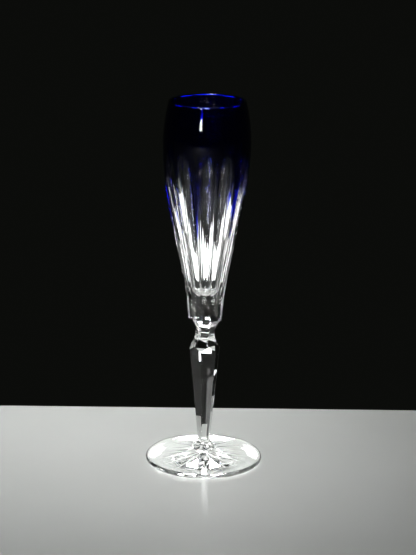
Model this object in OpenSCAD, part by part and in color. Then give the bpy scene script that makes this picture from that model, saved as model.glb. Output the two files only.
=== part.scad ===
// Champagne flute: a clear crystal bowl in a thin blue glass casing, a six-sided stem and a round foot.
// Twelve wheel-cut flutes climb the bowl in pairs and cut through the blue, which leaves six petals
// and six narrow ribs of it. A star of V grooves is cut under the foot.
// The origin is the middle of the foot, on the surface that the glass stands on, with +Z up.

/* [Bowl] */
// Height of the rim
rim_z = 240; // [236:1:244]
// Outer diameter at the rim
rim_d = 49.4; // [48.6:0.2:50.2]
// Height of the widest place
belly_z = 212; // [210:1:214]
// Outer diameter at the widest place
belly_d = 56; // [55.6:0.2:56.4]
// Height where the fluted wall starts
base_z = 97.6; // [97:0.2:98.2]
// Diameter of the uncut glass at that height
base_d = 26.8; // [26.6:0.1:27]
// Growth of the uncut wall's radius for each millimetre of height
wall_slope = 0.148; // [0.147:0.001:0.149]
// Height of the bottom of the wine space
wine_z = 113.4; // [112:0.2:115]
// Widest diameter of the wine space
wine_d = 51.2; // [51:0.1:51.4]
// Growth of the wine space's radius for each millimetre of height
wine_slope = 0.225; // [0.223:0.001:0.227]
// Radius of the wine space's round bottom
wine_round = 8.3; // [8:0.1:8.6]
// Thickness of the wall at the rim
rim_wall = 1.9; // [1.7:0.1:2.1]

/* [Blue casing] */
// Thickness of the blue at the widest place
casing_belly = 0.7; // [0.6:0.05:0.8]
// Thickness of the blue low on the wall
casing_low = 1.4; // [1.3:0.05:1.5]
// Lowest level that the blue was laid to
casing_z = 148; // [146:1:150]

/* [Flutes] */
// Radius of the rounded edge of the wheel that cuts the flutes
wheel_r = 12.5; // [12.3:0.1:12.7]
// Distance of the wheel's path from the axis, at the height below
path_x = 37.55; // [37.45:0.05:37.65]
// Height at which that distance is measured
path_z = 195; // [194.5:0.5:195.5]
// Outward lean of the path for each millimetre of height
path_slope = 0.168; // [0.167:0.001:0.169]
// Height below which the path bends towards the vertical
bend_z = 121; // [119:1:123]
// Radius of that bend
bend_r = 240; // [220:10:260]
// Sideways distance of each path from the middle of its pair, at the axis
path_y = 2.5; // [2.4:0.05:2.6]
// Angle by which each path turns away from the middle of its pair
path_turn = 9; // [8.8:0.1:9.2]

/* [Stem] */
// Distance between opposite ridges at the shoulder
shoulder_d = 20.7; // [20.3:0.1:21.1]
// Height of the shoulder
shoulder_z = 78; // [77:0.5:79]
// Distance between opposite ridges at the joint with the foot
ankle_d = 8.1; // [7.8:0.1:8.4]
// Height of the narrowest place, under the bowl
waist_z = 87; // [86.5:0.1:87.5]
// Distance between opposite flats at the narrowest place
waist_d = 11; // [10.6:0.1:11.4]
// Radius of the six notches that form the narrowest place
notch_r = 13.8; // [13.4:0.1:14.2]

/* [Foot] */
// Diameter of the foot
foot_d = 76.4; // [75:0.2:78]
// Thickness of the foot's round edge
edge_d = 2.8; // [2.7:0.05:2.9]
// Height of the joint between foot and stem
ankle_z = 15; // [14.5:0.1:15.5]
// Diameter of the foot's neck at that joint
neck_d = 8.4; // [8.3:0.05:8.5]
// Rise of the hollow under the foot, in the middle
hollow = 0.4; // [0.3:0.05:0.5]
// Number of grooves in the star under the foot
star_rays = 18; // [12:6:24]
// Radius that the star reaches
star_r = 33; // [31:0.5:34]
// Depth of the grooves in the middle
star_depth = 1.5; // [1.2:0.1:1.8]

/* [Hidden] */
$fn = 96;
round_fn = 720;
crystal = "#e8f1f4";
cobalt = "#16309c";
over = 1;

sides = 6;
side_turn = 360 / sides;
// Direction of the first petal, which stands over the first ridge of the stem
petal_turn = 15;
// Direction of the first rib, halfway between two petals
rib_turn = petal_turn + side_turn / 2;

rim_r = rim_d / 2;
// Height of the middle of the round lip
lip_z = rim_z - rim_wall / 2;
belly_r = belly_d / 2;
base_r = base_d / 2;
wine_r = wine_d / 2;
core_low_r = base_r - casing_low;
core_belly_r = belly_r - casing_belly;
// The clear glass widens this much faster than the blank, so the casing thins towards the top
core_taper = 0.006;
core_slope = wall_slope + core_taper;
core_out = out_arc(core_low_r, base_z, core_slope, core_belly_r);
core_in = in_arc(core_belly_r, rim_r - rim_wall / 2, rim_z);
core_steps = 10;
wine_lean = atan(wine_slope);
path_lean = atan(path_slope);
// Angle that each wheel path bends through below the straight stretch
bend_turn = 7.5;
// Half angle of the V-shaped edge of the wheel that cuts the star
star_half = 62;
// Width of the hollow's plain edge, between the star and the ring that the foot stands on
ring_gap = 0.5;
// Radius of the round dimple where the star's grooves meet
star_mid_r = 1.5;
// Radius of the fillet from the neck to the top of the foot
fillet_r = 8.6;
// Radius of the dished top of the foot, and the height of its lowest point
dish_r = 150;
dish_low = 2.4;
dish_z = dish_low + dish_r;
dish_run = sqrt(pow(dish_r - fillet_r, 2) - pow(dish_z - ankle_z, 2));
dish_x = neck_d / 2 + fillet_r + dish_run;
// Point where the fillet touches the dish
blend_x = dish_x - dish_r * dish_run / (dish_r - fillet_r);
blend_z = dish_z - dish_r * (dish_z - ankle_z) / (dish_r - fillet_r);
// Radius of the wheel that runs each flat of the stem out on the neck of the foot
run_out_r = 6;
flat_at_shoulder = shoulder_d / 2 * cos(side_turn / 2);
flat_at_ankle = ankle_d / 2 * cos(side_turn / 2);
flat_lean = atan((flat_at_shoulder - flat_at_ankle) / (shoulder_z - ankle_z));

// Radius of the arc that takes a straight wall upright at the widest place
function out_arc(r, z, s, top) = (r + s * (belly_z - z) - top) / (s * sin(atan(s)) - 1 + cos(atan(s)));
// Radius of the arc that closes a wall from the widest place to a lip
function in_arc(top, r, z) = (pow(z - belly_z, 2) + pow(top - r, 2)) / (2 * (top - r));

// Radius of the clear glass under the casing at a height on its curved stretch
function core_radius(z) =
    let (big = z < belly_z ? core_out : core_in)
    core_belly_r - big + sqrt(pow(big, 2) - pow(z - belly_z, 2));

// Half outline of a tulip: a straight wall from (r, z), an arc out to the widest place and an arc in to the lip
module tulip(r, z, s, top, lip_r, lip_z) {
    big = out_arc(r, z, s, top);
    small = in_arc(top, lip_r, lip_z);
    join_z = belly_z - big * sin(atan(s));
    join_r = r + s * (join_z - z);
    polygon([[0, z], [r, z], [join_r, join_z], [0, join_z]]);
    intersection() {
        translate([top - big, belly_z]) circle(r = big, $fn = round_fn);
        translate([0, join_z]) square([top + over, belly_z - join_z]);
    }
    intersection() {
        translate([top - small, belly_z]) circle(r = small, $fn = round_fn);
        translate([0, belly_z]) square([top + over, lip_z - belly_z]);
    }
}

// The glass before it is cut, up to the middle of the round lip
module blank_outline() {
    tulip(base_r, base_z, wall_slope, belly_r, rim_r, lip_z);
}

// The clear glass under the casing: its curved stretch is a row of short cones
module core_outline() {
    join_z = belly_z - core_out * sin(atan(core_slope));
    step = (rim_z - join_z) / core_steps;
    curve = [for (i = [0 : core_steps]) [core_radius(join_z + i * step), join_z + i * step]];
    polygon(concat([[0, base_z], [core_low_r, base_z]], curve, [[0, rim_z]]));
}

// The wine space
module wine_outline() {
    low_r = wine_round * cos(wine_lean);
    low_z = wine_z + wine_round * (1 - sin(wine_lean));
    tulip(low_r, low_z, wine_slope, wine_r, rim_r - rim_wall, rim_z);
    intersection() {
        translate([0, wine_z + wine_round]) circle(r = wine_round, $fn = round_fn);
        translate([0, wine_z]) square([wine_r, low_z - wine_z]);
    }
}

// The wall above height z, with its round lip
module wall_outline(z) {
    difference() {
        intersection() {
            blank_outline();
            translate([0, z]) square([belly_r + over, lip_z - z]);
        }
        wine_outline();
    }
    translate([rim_r - rim_wall / 2, lip_z]) circle(r = rim_wall / 2, $fn = round_fn);
}

// One flute's cut: the wheel climbs a straight path, which bends towards the vertical at its foot
module flute_cut(side) {
    start_x = path_x + path_slope * (bend_z - path_z);
    rise = (rim_z + over - bend_z) / cos(path_lean);
    translate([0, side * path_y, 0]) rotate([0, 0, side * path_turn]) translate([start_x, 0, bend_z]) {
        rotate([0, path_lean, 0]) cylinder(r = wheel_r, h = rise, $fn = round_fn);
        translate([bend_r * cos(path_lean), 0, -bend_r * sin(path_lean)]) rotate([90, 0, 0])
            rotate([0, 0, 180 - path_lean]) rotate_extrude(angle = bend_turn, $fn = round_fn)
                translate([bend_r, 0]) circle(r = wheel_r);
    }
}

// All twelve flutes, in pairs either side of each rib
module flute_cuts() {
    for (i = [0 : sides - 1], side = [-1, 1]) {
        rotate([0, 0, rib_turn + i * side_turn]) flute_cut(side);
    }
}

// Six level notches that form the narrow waist
module waist_notches() {
    for (i = [0 : sides - 1]) {
        rotate([0, 0, petal_turn + i * side_turn]) translate([waist_d / 2 + notch_r, 0, waist_z])
            rotate([90, 0, 0]) cylinder(r = notch_r, h = 4 * notch_r, center = true, $fn = round_fn);
    }
}

module crystal_bowl() {
    color(crystal, 0.35) difference() {
        rotate_extrude($fn = round_fn) {
            translate([0, waist_z]) square([base_r, base_z - waist_z]);
            difference() {
                intersection() {
                    union() {
                        wall_outline(base_z);
                        translate([0, base_z]) square([wine_round, wine_z + over - base_z]);
                    }
                    core_outline();
                }
                wine_outline();
            }
        }
        waist_notches();
        flute_cuts();
    }
}

module blue_casing() {
    color(cobalt, 0.8) difference() {
        rotate_extrude($fn = round_fn) difference() {
            wall_outline(casing_z);
            core_outline();
        }
        flute_cuts();
    }
}

module stem() {
    reach = shoulder_d;
    color(crystal, 0.35) difference() {
        translate([0, 0, ankle_z]) cylinder(r = shoulder_d / 2 + over, h = waist_z - ankle_z, $fn = round_fn);
        for (i = [0 : sides - 1]) {
            rotate([0, 0, rib_turn + i * side_turn]) translate([flat_at_ankle, 0, ankle_z])
                rotate([0, flat_lean, 0]) translate([0, -reach, -reach]) cube([reach, 2 * reach, 5 * reach]);
        }
        waist_notches();
    }
}

module foot() {
    color(crystal, 0.35) difference() {
        rotate_extrude($fn = round_fn) foot_outline();
        for (i = [0 : sides - 1]) {
            rotate([0, 0, rib_turn + i * side_turn])
                translate([flat_at_ankle + run_out_r * cos(flat_lean), 0, ankle_z - run_out_r * sin(flat_lean)])
                rotate([90, 0, 0]) cylinder(r = run_out_r, h = neck_d, center = true, $fn = round_fn);
        }
        star_cuts();
    }
}

// Half outline of the foot: the neck's fillet runs into a wide shallow dish, which ends at the round edge
module foot_outline() {
    edge_mid = foot_d / 2 - edge_d / 2;
    difference() {
        union() {
            polygon([[0, hollow], [star_r + ring_gap, 0], [edge_mid, 0], [edge_mid, edge_d],
                [blend_x, blend_z + over], [neck_d / 2, ankle_z], [0, ankle_z]]);
            translate([edge_mid, edge_d / 2]) circle(r = edge_d / 2, $fn = round_fn);
        }
        translate([neck_d / 2 + fillet_r, ankle_z]) circle(r = fillet_r, $fn = round_fn);
        intersection() {
            translate([dish_x, dish_z]) circle(r = dish_r, $fn = round_fn);
            translate([blend_x, 0]) square([foot_d, ankle_z]);
        }
    }
}

// The star under the foot: V grooves that get shallower from the middle outwards
module star_cuts() {
    tilt = atan(star_depth / star_r);
    half_w = star_depth * tan(star_half);
    translate([0, 0, -over]) cylinder(r = star_mid_r, h = over + star_depth);
    for (i = [0 : star_rays - 1]) {
        rotate([0, 0, petal_turn + i * 360 / star_rays]) translate([0, 0, star_depth]) rotate([0, tilt, 0])
            translate([star_mid_r / 2, 0, 0]) rotate([90, 0, 90]) linear_extrude(height = star_r)
                polygon([[0, 0], [-2 * half_w, -2 * star_depth], [2 * half_w, -2 * star_depth]]);
    }
}

crystal_bowl();
blue_casing();
stem();
foot();
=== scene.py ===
"""Champagne flute in blue-cased cut crystal, rebuilt over its CAD frame as four pieces of real glass.

Lengths of the glass are millimetres until Shell.grid() writes them in metres, and the stage is in metres.
Angles are degrees, and heights run up from the table.
phi is the angle from the middle of the nearest rib: 0 on the rib, 30 on the petal.
"""
import math

import bmesh
import bpy
import numpy as np
from mathutils import Matrix, Vector


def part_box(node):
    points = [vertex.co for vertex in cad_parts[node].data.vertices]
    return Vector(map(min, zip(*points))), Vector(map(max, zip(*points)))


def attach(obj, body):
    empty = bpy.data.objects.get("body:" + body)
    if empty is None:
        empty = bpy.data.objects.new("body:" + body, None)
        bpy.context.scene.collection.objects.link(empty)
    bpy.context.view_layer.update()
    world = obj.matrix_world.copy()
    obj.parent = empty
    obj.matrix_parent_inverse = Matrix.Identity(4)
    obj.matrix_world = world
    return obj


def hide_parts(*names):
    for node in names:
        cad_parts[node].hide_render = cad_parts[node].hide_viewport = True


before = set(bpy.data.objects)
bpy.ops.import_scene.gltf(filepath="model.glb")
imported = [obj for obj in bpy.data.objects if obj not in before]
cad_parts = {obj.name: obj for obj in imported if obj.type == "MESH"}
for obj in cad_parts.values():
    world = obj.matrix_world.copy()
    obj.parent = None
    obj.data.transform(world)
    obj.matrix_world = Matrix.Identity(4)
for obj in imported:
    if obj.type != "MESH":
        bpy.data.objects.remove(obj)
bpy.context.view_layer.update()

MM = 0.001
TO_MM = 1000.0

# ---------------------------------------------------------------- driving sizes, as in the CAD part
RIM_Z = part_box("blue_casing")[1].z * TO_MM
RIM_R, RIM_WALL = 24.7, 1.9
BELLY_Z, BELLY_R = 212.0, 28.0
BASE_Z, BASE_R, WALL_SLOPE = 97.6, 13.4, 0.148
WINE_Z, WINE_R, WINE_SLOPE, WINE_ROUND = 113.4, 25.6, 0.225, 8.3
CASING_BELLY, CASING_LOW, CORE_TAPER = 0.7, 1.4, 0.006
WHEEL_R, PATH_X, PATH_Z, PATH_SLOPE = 12.5, 37.55, 195.0, 0.168
BEND_Z, BEND_R, PATH_Y, PATH_TURN = 121.0, 240.0, 2.5, 9.0
SHOULDER_R, SHOULDER_Z, ANKLE_R, ANKLE_Z = 10.35, 78.0, 4.05, 15.0
WAIST_Z, WAIST_R, NOTCH_R = 87.0, 5.5, 13.8
FOOT_R, EDGE_R, NECK_R, FILLET_R, DISH_R, DISH_LOW = 38.2, 1.4, 4.2, 8.6, 150.0, 2.4
RUN_OUT_R = 6.0
STAR_RAYS, STAR_R, STAR_DEPTH, STAR_HALF = 18, 33.0, 1.5, 62.0
HOLLOW, RING_GAP, STAR_MID_R = 0.4, 0.5, 1.5

LIP_R = RIM_WALL / 2
LIP_Z = RIM_Z - LIP_R
LIP_MID = RIM_R - LIP_R
# The cuts repeat six times round the axis, and each repeat is its own mirror image
SIDES = 6
PERIOD = 360.0 / SIDES
HALF = PERIOD / 2
PETAL_TURN = 15.0
RIB_TURN = PETAL_TURN + HALF
# Gap left between two fused pieces, so that no two faces lie in one place
GAP = 0.02


def sin(a):
    return np.sin(np.radians(a))


def cos(a):
    return np.cos(np.radians(a))


class Tulip:
    """A wall's outline: straight from (r, z), an arc out to the widest place and an arc in to the lip."""

    def __init__(self, r, z, slope, top, lip_r, lip_z):
        self.r, self.z, self.slope, self.top = r, z, slope, top
        lean = math.atan(slope)
        rise = slope * math.sin(lean) - 1 + math.cos(lean)
        self.out_arc = (r + slope * (BELLY_Z - z) - top) / rise
        self.in_arc = ((lip_z - BELLY_Z) ** 2 + (top - lip_r) ** 2) / (2 * (top - lip_r))
        self.join_z = BELLY_Z - self.out_arc * math.sin(lean)

    def radius(self, z):
        z = np.asarray(z, float)
        straight = self.r + self.slope * (z - self.z)
        arc = np.where(z < BELLY_Z, self.out_arc, self.in_arc)
        curved = self.top - arc + np.sqrt(np.maximum(arc**2 - (z - BELLY_Z) ** 2, 0))
        return np.where(z < self.join_z, straight, curved)


BLANK = Tulip(BASE_R, BASE_Z, WALL_SLOPE, BELLY_R, RIM_R, LIP_Z)
CORE = Tulip(BASE_R - CASING_LOW, BASE_Z, WALL_SLOPE + CORE_TAPER, BELLY_R - CASING_BELLY, LIP_MID, RIM_Z)
WINE_LEAN = math.degrees(math.atan(WINE_SLOPE))
WINE_LOW_R = WINE_ROUND * math.cos(math.radians(WINE_LEAN))
WINE_LOW_Z = WINE_Z + WINE_ROUND * (1 - math.sin(math.radians(WINE_LEAN)))
WINE = Tulip(WINE_LOW_R, WINE_LOW_Z, WINE_SLOPE, WINE_R, RIM_R - RIM_WALL, LIP_Z)


# ---------------------------------------------------------------- cut surfaces
PATH_LEAN = math.degrees(math.atan(PATH_SLOPE))
# The searches for a surface halve a span this many times
HALVINGS, FINE_HALVINGS = 36, 40
# Radii between which every flute lies
NEAR_R, FAR_R = 3.0, 33.0
TROUGH_SAMPLES = 2001


def wheel_face(v, z):
    """Distance from the axis, along a flute's own plane, of the cut left by the wheel v to the side of it."""
    q = np.sqrt(np.maximum(WHEEL_R**2 - v**2, 0))
    straight = PATH_X + PATH_SLOPE * (z - PATH_Z) - q / cos(PATH_LEAN)
    start = PATH_X + PATH_SLOPE * (BEND_Z - PATH_Z)
    bend_x = start + BEND_R * cos(PATH_LEAN)
    bend_z = BEND_Z - BEND_R * sin(PATH_LEAN)
    bent = bend_x - np.sqrt((BEND_R + q) ** 2 - (z - bend_z) ** 2)
    past = (straight - start) * sin(PATH_LEAN) + (z - BEND_Z) * cos(PATH_LEAN)
    return np.where(past < 0, bent, straight)


def flute_radius(phi, z):
    """Radius of a flute's surface at angle phi from its rib and height z."""
    phi, z = np.broadcast_arrays(np.asarray(phi, float), np.asarray(z, float))
    low, high = np.full(phi.shape, NEAR_R), np.full(phi.shape, FAR_R)
    for _ in range(HALVINGS):
        r = (low + high) / 2
        x, y = r * cos(phi), r * sin(phi) - PATH_Y
        u = x * cos(PATH_TURN) + y * sin(PATH_TURN)
        v = y * cos(PATH_TURN) - x * sin(PATH_TURN)
        cut = u > wheel_face(v, z)
        low, high = np.where(cut, low, r), np.where(cut, r, high)
    return (low + high) / 2


def trough_phi(z):
    """Angle where a flute comes closest to the axis.

    It is the nearest of the samples across the wheel. Their step leaves the casing's mesh open by a slit about
    0.002 mm wide and 1.2 mm high at the top of each flute.
    """
    v = np.linspace(-WHEEL_R / 2, WHEEL_R / 2, TROUGH_SAMPLES)
    u = wheel_face(v, np.asarray(z)[..., None])
    x = u * cos(PATH_TURN) - v * sin(PATH_TURN)
    y = u * sin(PATH_TURN) + v * cos(PATH_TURN) + PATH_Y
    closest = np.argmin(x**2 + y**2, axis=-1)[..., None]
    pick = np.degrees(np.arctan2(y, x))
    return np.take_along_axis(pick, closest, axis=-1)[..., 0]


def edge_phi(z, wall, side):
    """Angle where a flute runs out through a wall's radius, between its trough and the angle side."""
    inside, outside = trough_phi(z), np.full_like(z, side)
    for _ in range(HALVINGS):
        middle = (inside + outside) / 2
        cut = flute_radius(middle, z) < wall
        inside, outside = np.where(cut, middle, inside), np.where(cut, outside, middle)
    return (inside + outside) / 2


def level(test, low, high):
    """Height between low and high where test stops being true."""
    for _ in range(FINE_HALVINGS):
        middle = (low + high) / 2
        if test(np.array([middle]))[0]:
            low = middle
        else:
            high = middle
    return (low + high) / 2


def notch_radius(phi, z):
    """Radius of the six level notches of the waist, whose flats face the petals."""
    flat = WAIST_R + NOTCH_R - np.sqrt(np.maximum(NOTCH_R**2 - (z - WAIST_Z) ** 2, 0))
    return flat / cos(HALF - phi)


FLAT_LOW, FLAT_HIGH = ANKLE_R * cos(HALF), SHOULDER_R * cos(HALF)
FLAT_LEAN = math.degrees(math.atan((FLAT_HIGH - FLAT_LOW) / (SHOULDER_Z - ANKLE_Z)))


def flat_radius(phi, z):
    """Radius of the stem's six flats, which face the ribs."""
    return (FLAT_LOW + (z - ANKLE_Z) * math.tan(math.radians(FLAT_LEAN))) / cos(phi)


def meeting(phi, first, second, low, high):
    """Height between low and high where surface first stops being inside surface second, for each phi."""
    low, high = np.full_like(phi, low), np.full_like(phi, high)
    for _ in range(FINE_HALVINGS):
        middle = (low + high) / 2
        under = first(phi, middle) < second(phi, middle)
        low, high = np.where(under, middle, low), np.where(under, high, middle)
    return (low + high) / 2


# ---------------------------------------------------------------- meshes
# Material slots of a piece's faces
CLEAR, SEAM = 0, 1
# Vertices this close, in metres, become one, and edges this short are dropped
MERGE, TINY = 2e-7, 1e-8
# Faces that meet at more than this angle keep a sharp edge
SHARP_ANGLE = 9.0
# Faces of a grid across half a petal or rib of casing, across a flute and across a bevel
BAND_COLS, CUT_COLS, BEVEL_COLS = 8, 24, 4
# Rows of faces up the lip's round, up its seam and out across a disc
LIP_ROWS, LIP_SEAM_ROWS, DISC_ROWS = 8, 4, 3


def spread(low, high, step):
    """Places from low to high, about step apart in the middle and closer at both ends."""
    n = max(int(math.ceil((high - low) / step)), 2)
    return low + (high - low) * (1 - np.cos(np.linspace(0, math.pi, n + 1))) / 2


def joined(stops, step):
    """spread() between each two of the sorted stops."""
    stops = sorted(stops)
    runs = [spread(a, b, step)[:-1] for a, b in zip(stops, stops[1:])]
    return np.concatenate([*runs, stops[-1:]])


def between(a, b, n):
    """Rows of n + 1 even places from each a to each b."""
    t = np.linspace(0, 1, n + 1)
    return a[:, None] * (1 - t) + b[:, None] * t


class Shell:
    """Collects grids of points given as phi, radius and height, and joins them into one mesh."""

    def __init__(self):
        self.verts, self.faces, self.slots = [], [], []

    def grid(self, theta, r, z, slot):
        """Adds a grid of faces. slot is a number, or one for each face of the grid."""
        theta, r, z = np.broadcast_arrays(theta, r, z)
        rows, cols = theta.shape
        start = len(self.verts)
        points = np.stack([r * cos(theta), r * sin(theta), z], axis=-1)
        self.verts.extend((points.reshape(-1, 3) * MM).tolist())
        slots = np.broadcast_to(slot, (rows - 1, cols - 1))
        for i in range(rows - 1):
            for j in range(cols - 1):
                a = start + i * cols + j
                self.faces.append((a, a + 1, a + cols + 1, a + cols))
                self.slots.append(int(slots[i, j]))

    def repeat(self, phi, r, z, slot):
        """Adds a half-period grid, its mirror image and their copies round the axis."""
        for k in range(SIDES):
            middle = RIB_TURN + k * PERIOD
            self.grid(middle + phi, r, z, slot)
            self.grid(middle - phi, r, z, slot)

    def piece(self, name, materials):
        """Merges the grids into one object. It says if any edge is left that doesn't join two faces."""
        mesh = bpy.data.meshes.new(name)
        mesh.from_pydata(self.verts, [], self.faces)
        for material in materials:
            mesh.materials.append(material)
        mesh.polygons.foreach_set("material_index", self.slots)
        bm = bmesh.new()
        bm.from_mesh(mesh)
        bmesh.ops.remove_doubles(bm, verts=bm.verts, dist=MERGE)
        bmesh.ops.dissolve_degenerate(bm, edges=bm.edges, dist=TINY)
        bmesh.ops.delete(bm, geom=[e for e in bm.edges if not e.link_faces], context="EDGES")
        bmesh.ops.delete(bm, geom=[v for v in bm.verts if not v.link_faces], context="VERTS")
        bmesh.ops.recalc_face_normals(bm, faces=bm.faces)
        open_edges = [e for e in bm.edges if not e.is_manifold]
        if open_edges:
            print(name, "has", len(open_edges), "edges that don't join two faces")
        bm.to_mesh(mesh)
        bm.free()
        mesh.shade_smooth()
        mesh.set_sharp_from_angle(angle=math.radians(SHARP_ANGLE))
        obj = bpy.data.objects.new(name, mesh)
        bpy.context.scene.collection.objects.link(obj)
        print(name, len(mesh.polygons), "faces")
        return obj


# ---------------------------------------------------------------- the levels where the pattern changes
# Heights between which the flutes' tops, the casing's tips and the ribs' full width are looked for
TOP_SPAN, TIP_SPAN, RIB_SPAN = (180.0, 225.0), (130.0, 200.0), (130.0, 210.0)


def cut_level(phi, wall, span):
    """Height in span where the flutes stop cutting into wall at the angles that phi gives for a height."""
    return level(lambda z: flute_radius(phi(z), z) < wall.radius(z), *span)


def petal_phi(z):
    return np.full_like(z, HALF)


TOP_EDGE = cut_level(trough_phi, BLANK, TOP_SPAN)
TOP_CORE = cut_level(trough_phi, CORE, TOP_SPAN)
PETAL_TIP = cut_level(petal_phi, CORE, TIP_SPAN)
PETAL_EDGE = cut_level(petal_phi, BLANK, TIP_SPAN)
RIB_TIP = cut_level(np.zeros_like, CORE, TIP_SPAN)
RIB_EDGE = cut_level(np.zeros_like, BLANK, RIB_SPAN)
LEVELS = sorted([PETAL_TIP, PETAL_EDGE, RIB_TIP, RIB_EDGE, TOP_CORE, TOP_EDGE])
# Height where the bowl's rows become level again above the scalloped base edge, and one where they gather
LEVEL_Z, CLOSE_Z = 108.0, 125.0
ROW_STEP = 1.6
# Heights between which the base's scalloped edge and the stem's shoulder are looked for
BASE_SPAN, SHOULDER_SPAN = (92.0, 100.0), (70.0, 86.5)
# A cut narrower than this angle has closed up
CLOSED = 1e-3


def edges(z, wall):
    """The two angles between which a flute has cut below a wall's radius: near the rib and near the petal."""
    return edge_phi(z, wall, 0.0), edge_phi(z, wall, HALF)


def rows_of(height, width):
    """A row of heights as a grid as wide as width."""
    return np.repeat(np.asarray(height)[:, None], width, axis=1)


def lip_arc(side):
    """Radius and height along the lip's round, from its side at LIP_Z to its top. side is 1 outside, -1 inside."""
    a = np.linspace(0, 90, LIP_ROWS + 1)
    return LIP_MID + side * LIP_R * cos(a), LIP_Z + LIP_R * sin(a)


def lip_seam(shell, phi, inset):
    """The seam between the level of the lip and its top, inset from the core's face."""
    steps = np.linspace(LIP_Z, RIM_Z, LIP_SEAM_ROWS + 1)
    r = np.append(CORE.radius(steps[:-1]) - inset, LIP_MID - inset)
    shell.repeat(np.repeat(phi, len(steps), axis=0), r[:, None], steps[:, None], SEAM)


def disc(shell, phi, r, z):
    """Closes a half-period row with a flat seam."""
    share = np.linspace(0, 1, DISC_ROWS + 1)[:, None]
    shell.repeat(np.repeat(phi, len(share), axis=0), r * share, np.full(share.shape, z), SEAM)


def crystal_bowl(materials):
    """The clear bowl: cut outside, smooth inside, with seam faces under the casing and on the stem."""
    shell = Shell()
    z = joined([LEVEL_Z, CLOSE_Z, *LEVELS, BELLY_Z, LIP_Z], ROW_STEP)
    rib_side, petal_side = edges(z, CORE.radius(z))
    # Above the flutes the cut has no width, so that its columns close up
    under_rib = between(np.zeros_like(z), rib_side, BAND_COLS)
    cut = between(rib_side, petal_side, CUT_COLS)
    under_petal = between(petal_side, petal_phi(z), BAND_COLS)
    phi = np.hstack([under_rib[:, :-1], cut, under_petal[:, 1:]])
    height = rows_of(z, phi.shape[1])
    core = CORE.radius(height)
    flute = flute_radius(phi, height)
    bare = flute < core - GAP / 2
    r = np.where(bare, flute, core - GAP)
    open_cut = rows_of(petal_side - rib_side > CLOSED, CUT_COLS) & (height[:, :CUT_COLS] < TOP_CORE)
    slot = np.full(phi.shape, SEAM)
    slot[:, BAND_COLS:BAND_COLS + CUT_COLS] = np.where(open_cut, CLEAR, SEAM)
    slot[z < PETAL_TIP, BAND_COLS + CUT_COLS:] = CLEAR
    slot[z < RIB_TIP, :BAND_COLS] = CLEAR
    shell.repeat(phi, r, height, slot[:-1, :-1])
    bowl_base(shell, phi[:1])
    bowl_inside(shell, phi[-1:])
    lip_seam(shell, phi[-1:], GAP)
    return shell.piece("bowl_glass", materials)


def bowl_base(shell, phi):
    """Down from the lowest level row to the scalloped edge, and over the waist's notches to the stem."""
    rows = 12
    edge_z = meeting(phi[0], notch_radius, flute_radius, *BASE_SPAN)[None, :]
    t = np.linspace(0, 1, rows + 1)[:, None]
    height = edge_z + (LEVEL_Z - edge_z) * t
    wide = np.repeat(phi, len(t), axis=0)
    shell.repeat(wide, flute_radius(wide, height), height, CLEAR)
    joint_z = WAIST_Z + GAP / 2
    height = joint_z + (edge_z - joint_z) * t
    shell.repeat(wide, notch_radius(wide, height), height, CLEAR)
    disc(shell, phi, notch_radius(phi, joint_z), joint_z)


def bowl_inside(shell, phi):
    """Down from the top of the lip, over its inner side and the wine wall to the middle of the round bottom."""
    wall_step, bottom_rows = 3.0, 14
    lip_r, lip_z = lip_arc(-1)
    down = joined([WINE_LOW_Z, WINE.join_z, BELLY_Z, LIP_Z], wall_step)[::-1]
    bottom = np.linspace(-WINE_LEAN, -90, bottom_rows + 1)[1:]
    bottom_z = WINE_Z + WINE_ROUND + WINE_ROUND * sin(bottom)
    r = np.concatenate([[LIP_MID - GAP], lip_r[::-1][1:], WINE.radius(down[1:]), WINE_ROUND * cos(bottom)])
    z = np.concatenate([[RIM_Z], lip_z[::-1][1:], down[1:], bottom_z])
    shell.repeat(np.repeat(phi, len(r), axis=0), r[:, None], z[:, None], CLEAR)


def blue_casing(material):
    """The blue overlay: outside the blank's face and the flutes' bevels, inside the seam on the clear bowl."""
    shell = Shell()
    z = joined([PETAL_TIP, *LEVELS[1:], BELLY_Z, LIP_Z], ROW_STEP)
    core, face = edges(z, CORE.radius(z)), edges(z, BLANK.radius(z))
    starts, tips = (np.zeros_like(z), petal_phi(z)), (RIB_TIP, PETAL_TIP)
    # Keeps the row that lies on the tip
    slack = 1e-6
    lip_r, lip_z = lip_arc(1)
    for start, face_edge, core_edge, tip in zip(starts, face, core, tips):
        keep = z > tip - slack
        band, bevel = between(start, face_edge, BAND_COLS), between(face_edge, core_edge, BEVEL_COLS)
        seam = between(start, core_edge, BAND_COLS)
        outside = np.hstack([band[:, :-1], bevel])[keep]
        tall = rows_of(z[keep], outside.shape[1])
        r = np.minimum(BLANK.radius(tall), flute_radius(outside, tall))
        # The bevel ends on the clear bowl, never inside it
        r = np.maximum(r, CORE.radius(tall))
        shell.repeat(outside, r, tall, CLEAR)
        shell.repeat(seam[keep], CORE.radius(rows_of(z[keep], seam.shape[1])), tall[:, :1], SEAM)
        shell.repeat(np.repeat(outside[-1:], len(lip_r), axis=0), lip_r[:, None], lip_z[:, None], CLEAR)
        lip_seam(shell, seam[-1:], 0.0)
    return shell.piece("casing_glass", [material, material])


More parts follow.
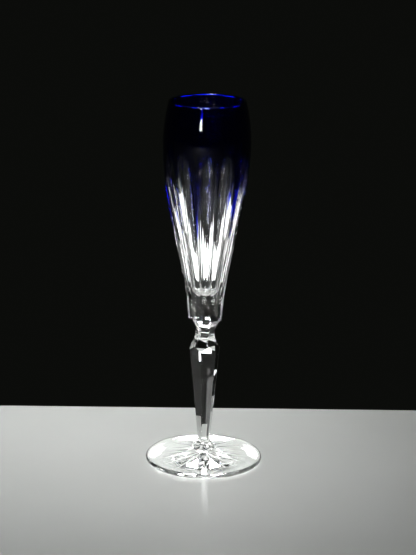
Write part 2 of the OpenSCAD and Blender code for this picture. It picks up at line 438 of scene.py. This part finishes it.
def stem(materials):
    """The six-sided stem with its notched shoulder, between two seams."""
    shell = Shell()
    cols, flat_rows, notch_rows = 12, 24, 16
    phi = np.linspace(0, HALF, cols + 1)[None, :]
    low, high = ANKLE_Z + GAP / 2, WAIST_Z - GAP / 2
    edge_z = meeting(phi[0], flat_radius, notch_radius, *SHOULDER_SPAN)[None, :]
    for start, end, rows, surface in ((low, edge_z, flat_rows, flat_radius), (edge_z, high, notch_rows, notch_radius)):
        height = start + (end - start) * np.linspace(0, 1, rows + 1)[:, None]
        wide = np.repeat(phi, rows + 1, axis=0)
        shell.repeat(wide, surface(wide, height), height, CLEAR)
    disc(shell, phi, flat_radius(phi, low), low)
    disc(shell, phi, notch_radius(phi, high), high)
    return shell.piece("stem_glass", materials)


def foot_top(edge_x):
    """Radius and height of the foot's top, from the neck's seam out over the dish and round the edge."""
    neck_rows, dish_rows, roll_rows = 28, 25, 15
    dish_z = DISH_LOW + DISH_R
    run = math.sqrt((DISH_R - FILLET_R) ** 2 - (dish_z - ANKLE_Z) ** 2)
    dish_x = NECK_R + FILLET_R + run
    blend_x = dish_x - DISH_R * run / (DISH_R - FILLET_R)
    turned = math.degrees(math.acos((NECK_R + FILLET_R - blend_x) / FILLET_R))
    bend = np.linspace(180, 180 + turned, neck_rows + 1)
    neck_r, neck_z = NECK_R + FILLET_R + FILLET_R * cos(bend), ANKLE_Z + FILLET_R * sin(bend)
    neck_z[0] = ANKLE_Z - GAP / 2
    dish_r = np.linspace(blend_x, edge_x, dish_rows + 1)[1:]
    dish_h = dish_z - np.sqrt(DISH_R**2 - (dish_x - dish_r) ** 2)
    start = math.degrees(math.asin(min((dish_h[-1] - EDGE_R) / EDGE_R, 1.0)))
    roll = np.linspace(start, -90, roll_rows + 1)[1:]
    top_r = np.concatenate([neck_r, dish_r, edge_x + EDGE_R * cos(roll)])
    top_z = np.concatenate([neck_z, dish_h, EDGE_R + EDGE_R * sin(roll)])
    return top_r, top_z


def with_run_outs(theta, r, z):
    """Radius of the neck after the stem's six flats have run out into it."""
    reach = 2.2 * NECK_R
    from_flat = (theta - RIB_TURN + HALF) % PERIOD - HALF
    mid = FLAT_LOW + RUN_OUT_R * cos(FLAT_LEAN)
    drop = z - (ANKLE_Z - RUN_OUT_R * sin(FLAT_LEAN))
    run_out = (mid - np.sqrt(np.maximum(RUN_OUT_R**2 - drop**2, 0))) / cos(from_flat)
    return np.where((z > ANKLE_Z - RUN_OUT_R) & (r < reach), np.minimum(r, run_out), r)


def foot(materials):
    """The round foot: a neck with six run-out flats, a dished top, a round edge and a star cut beneath."""
    shell = Shell()
    ray, cols = 360.0 / STAR_RAYS, 8
    phi = np.linspace(0, ray / 2, cols + 1)
    edge_x = FOOT_R - EDGE_R
    top_r, top_z = foot_top(edge_x)
    z = rows_of(top_z, len(phi))
    seam = np.linspace(0, 1, DISC_ROWS + 1)[:, None]
    for turn in [PETAL_TURN + k * ray for k in range(STAR_RAYS)]:
        for side in (1, -1):
            theta = np.repeat((turn + side * phi)[None, :], len(top_r), axis=0)
            r = with_run_outs(theta, rows_of(top_r, len(phi)), z)
            shell.grid(theta, r, z, CLEAR)
            shell.grid(np.repeat(theta[:1], len(seam), axis=0), r[:1] * seam, np.full(seam.shape, top_z[0]), SEAM)
            underside(shell, turn, side, phi, edge_x)
    return shell.piece("foot_glass", materials)


def hollow_z(r):
    """Height of the slightly hollow underside before the star is cut."""
    return np.maximum(HOLLOW * (1 - r / (STAR_R + RING_GAP)), 0)


def groove_z(delta, r):
    """Height of the V groove's roof at the angle delta from its middle."""
    return STAR_DEPTH * (1 - r * cos(delta) / STAR_R) - r * sin(delta) / math.tan(math.radians(STAR_HALF))


def underside(shell, turn, side, phi, edge_x):
    """Half of one ray of the star, and the plain ring outside it."""
    half_ray, ray_step = phi[-1], 1.2
    r = np.append(joined([STAR_MID_R, STAR_R / 3, STAR_R], ray_step), STAR_R + RING_GAP)
    inside, outside = np.zeros_like(r), np.full_like(r, half_ray)
    for _ in range(FINE_HALVINGS):
        middle = (inside + outside) / 2
        cut = groove_z(middle, r) > hollow_z(r)
        inside, outside = np.where(cut, middle, inside), np.where(cut, outside, middle)
    edge = np.where(groove_z(0 * r, r) > hollow_z(r), (inside + outside) / 2, 0.0)
    share = phi / half_ray
    groove = edge[:, None] * share[None, :]
    land = edge[:, None] + (half_ray - edge[:, None]) * share[None, :]
    delta = np.hstack([groove[:, :-1], land])
    deep = rows_of(r, delta.shape[1])
    z = np.maximum(groove_z(delta, deep), hollow_z(deep))
    shell.grid(turn + side * delta, deep, z, CLEAR)
    # The dimple in the middle
    dimple = np.repeat(delta[:1], 3, axis=0)
    dimple_z = np.vstack([np.full((2, delta.shape[1]), STAR_DEPTH), z[:1]])
    shell.grid(turn + side * dimple, np.array([[0.0], [STAR_MID_R], [STAR_MID_R]]), dimple_z, CLEAR)
    # The plain ring that the glass stands on
    ring = np.repeat(land[-1:], 3, axis=0)
    shell.grid(turn + side * ring, np.linspace(r[-1], edge_x, 3)[:, None], np.zeros((3, 1)), CLEAR)


# ---------------------------------------------------------------- materials
def node_material(name):
    mat = bpy.data.materials.new(name)
    mat.use_nodes = True
    nt = mat.node_tree
    nt.nodes.clear()
    return mat, nt, nt.nodes.new("ShaderNodeOutputMaterial")


def polished(nt, colour, ripple):
    """A polished glass surface: faint swirls in the roughness, and ripples where the wheel has passed."""
    glass = nt.nodes.new("ShaderNodeBsdfPrincipled")
    glass.inputs["Base Color"].default_value = (*colour, 1)
    glass.inputs["IOR"].default_value = 1.545
    glass.inputs["Transmission Weight"].default_value = 1.0
    coords = nt.nodes.new("ShaderNodeTexCoord")
    swirl = nt.nodes.new("ShaderNodeTexNoise")
    swirl.inputs["Scale"].default_value = 160.0
    swirl.inputs["Detail"].default_value = 4.0
    nt.links.new(coords.outputs["Object"], swirl.inputs["Vector"])
    rough = nt.nodes.new("ShaderNodeMapRange")
    rough.inputs["From Min"].default_value = 0.45
    rough.inputs["From Max"].default_value = 0.8
    rough.inputs["To Min"].default_value = 0.0
    rough.inputs["To Max"].default_value = 0.035
    nt.links.new(swirl.outputs["Fac"], rough.inputs["Value"])
    nt.links.new(rough.outputs["Result"], glass.inputs["Roughness"])
    wave = nt.nodes.new("ShaderNodeTexNoise")
    wave.inputs["Scale"].default_value = 90.0
    wave.inputs["Detail"].default_value = 1.0
    nt.links.new(coords.outputs["Object"], wave.inputs["Vector"])
    bump = nt.nodes.new("ShaderNodeBump")
    bump.inputs["Strength"].default_value = 1.0
    bump.inputs["Distance"].default_value = ripple * MM
    nt.links.new(wave.outputs["Fac"], bump.inputs["Height"])
    nt.links.new(bump.outputs["Normal"], glass.inputs["Normal"])
    return glass


def crystal_material():
    mat, nt, out = node_material("clear_crystal")
    glass = polished(nt, (0.985, 0.995, 0.99), 0.03)
    nt.links.new(glass.outputs["BSDF"], out.inputs["Surface"])
    return mat


def seam_material():
    """The face where two fused pieces meet: light goes straight on."""
    mat, nt, out = node_material("fused_seam")
    clear = nt.nodes.new("ShaderNodeBsdfTransparent")
    nt.links.new(clear.outputs["BSDF"], out.inputs["Surface"])
    return mat


def cobalt_material():
    """Cobalt glass that tints light by its depth. Its seam faces let light straight on into the clear bowl."""
    mat, nt, out = node_material("cobalt_glass")
    glass = polished(nt, (1.0, 1.0, 1.0), 0.02)
    clear = nt.nodes.new("ShaderNodeBsdfTransparent")
    seam = nt.nodes.new("ShaderNodeAttribute")
    seam.attribute_name = "seam"
    mix = nt.nodes.new("ShaderNodeMixShader")
    nt.links.new(seam.outputs["Fac"], mix.inputs["Fac"])
    nt.links.new(glass.outputs["BSDF"], mix.inputs[1])
    nt.links.new(clear.outputs["BSDF"], mix.inputs[2])
    nt.links.new(mix.outputs["Shader"], out.inputs["Surface"])
    depth = nt.nodes.new("ShaderNodeVolumeAbsorption")
    depth.inputs["Color"].default_value = (0.0, 0.22, 0.9, 1)
    depth.inputs["Density"].default_value = 8000.0
    nt.links.new(depth.outputs["Volume"], out.inputs["Volume"])
    return mat


def mark_seam(obj):
    """Writes which faces lie on a seam as an attribute, and puts every face in the first slot."""
    mesh = obj.data
    index = np.zeros(len(mesh.polygons), np.int32)
    mesh.polygons.foreach_get("material_index", index)
    seam = mesh.attributes.new("seam", "FLOAT", "FACE")
    seam.data.foreach_set("value", index.astype(np.float32))
    mesh.polygons.foreach_set("material_index", np.zeros_like(index))
    mesh.materials.pop(index=1)


# ---------------------------------------------------------------- the object
crystal, seam, cobalt = crystal_material(), seam_material(), cobalt_material()
bowl_piece, casing_piece = crystal_bowl([crystal, seam]), blue_casing(cobalt)
stem_piece, foot_piece = stem([crystal, seam]), foot([crystal, seam])
for node, slot_name, piece in (
    ("crystal_bowl", "clear_crystal", bowl_piece),
    ("blue_casing", "blue_glass", casing_piece),
    ("stem", "clear_crystal", stem_piece),
    ("foot", "clear_crystal", foot_piece),
):
    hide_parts(node)
    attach(piece, "root")
    # Clear glass lets the lamps through to the table
    piece.visible_shadow = False
mark_seam(casing_piece)


# ---------------------------------------------------------------- stage, lights and camera
def table_material():
    mat, nt, out = node_material("pale_table")
    top = nt.nodes.new("ShaderNodeBsdfPrincipled")
    coords = nt.nodes.new("ShaderNodeTexCoord")
    noise = nt.nodes.new("ShaderNodeTexNoise")
    noise.inputs["Scale"].default_value = 12.0
    noise.inputs["Detail"].default_value = 3.0
    nt.links.new(coords.outputs["Object"], noise.inputs["Vector"])
    tint = nt.nodes.new("ShaderNodeMix")
    tint.data_type = "RGBA"
    tint.inputs["A"].default_value = (0.60, 0.62, 0.60, 1)
    tint.inputs["B"].default_value = (0.66, 0.68, 0.66, 1)
    nt.links.new(noise.outputs["Fac"], tint.inputs["Factor"])
    nt.links.new(tint.outputs["Result"], top.inputs["Base Color"])
    top.inputs["Roughness"].default_value = 0.07
    nt.links.new(top.outputs["BSDF"], out.inputs["Surface"])
    return mat


def table_top():
    """A table that ends behind the glass, a hair below the foot, so that no two faces lie in one place."""
    back, front, side, z = 0.097, -2.2, 1.5, -0.0002
    mesh = bpy.data.meshes.new("table_top")
    mesh.from_pydata([(-side, front, z), (side, front, z), (side, back, z), (-side, back, z)], [], [(0, 1, 2, 3)])
    mesh.materials.append(table_material())
    obj = bpy.data.objects.new("table_top", mesh)
    bpy.context.scene.collection.objects.link(obj)


def area_light(name, place, aim, width, height, power, beam=180.0):
    """A rectangular lamp. beam is the angle that its light is kept within."""
    data = bpy.data.lights.new(name, "AREA")
    data.shape = "RECTANGLE"
    data.size, data.size_y = width, height
    data.energy = power
    data.spread = math.radians(beam)
    obj = bpy.data.objects.new(name, data)
    obj.location = place
    obj.rotation_euler = (Vector(aim) - Vector(place)).to_track_quat("-Z", "Y").to_euler()
    bpy.context.scene.collection.objects.link(obj)
    return obj


def low_light(name, x, y, width, depth, power):
    """A lamp that lies on the table facing up, hidden from the camera and seen in the glass and the table's gloss."""
    z = 0.001
    obj = area_light(name, (x, y, z), (x, y, 1), width, depth, power)
    obj.visible_camera = False


table_top()
area_light("top_softbox", (-0.20, 0.12, 1.3), (-0.12, 0.12, 0), 0.45, 0.45, 0.58, beam=24)
area_light("back_lamp", (0, 1.2, 1.0), (0, 0, 0.1), 0.22, 0.22, 0.32, beam=30)
area_light("front_lamp", (-0.42, -1.42, 0.385), (0, 0, 0.22), 0.15, 0.20, 2.4)
low_light("low_back", 0, 0.372, 0.4, 0.075, 0.55)
for name, x in (("low_left", -0.27), ("low_right", 0.27)):
    low_light(name, x, 0.05, 0.06, 0.3, 0.10)
# A light behind, which shows in the cuts of the waist and the star, and doesn't light the table by itself
glow = area_light("back_glow", (0, 1.6, 0.68), (0, 0, 0.1), 0.5, 0.4, 2.2)
glow.visible_glossy = False
glow.visible_diffuse = False

world = bpy.data.worlds.new("studio")
bpy.context.scene.world = world
world.use_nodes = True
backdrop = world.node_tree.nodes["Background"]
backdrop.inputs["Color"].default_value = (0.0035, 0.0038, 0.0032, 1)
backdrop.inputs["Strength"].default_value = 1.0

CAMERA_PLACE = (0.00155, -1.2102, 0.4733)
# How far the camera looks down from level, and how far it is turned about its own axis
CAMERA_DOWN, CAMERA_ROLL = 16.09, 0.67
SENSOR, LENS = 36.0, 126.7
camera_data = bpy.data.cameras.new("camera")
camera_data.sensor_width = SENSOR
camera_data.lens = LENS
camera = bpy.data.objects.new("camera", camera_data)
pitch, roll = math.radians(90 - CAMERA_DOWN), math.radians(CAMERA_ROLL)
camera.matrix_world = Matrix.Translation(CAMERA_PLACE) @ Matrix.Rotation(pitch, 4, "X") @ Matrix.Rotation(roll, 4, "Z")
bpy.context.scene.collection.objects.link(camera)
bpy.context.scene.camera = camera

# Enough bounces for light to get through every cut, the casing and the stem
cycles = bpy.context.scene.cycles
cycles.max_bounces = 40
cycles.transmission_bounces = 40
cycles.transparent_max_bounces = 48
cycles.glossy_bounces = 12
cycles.caustics_refractive = True
cycles.caustics_reflective = True
cycles.sample_clamp_indirect = 40.0
cycles.use_denoising = True
bpy.context.scene.view_settings.view_transform = "Standard"
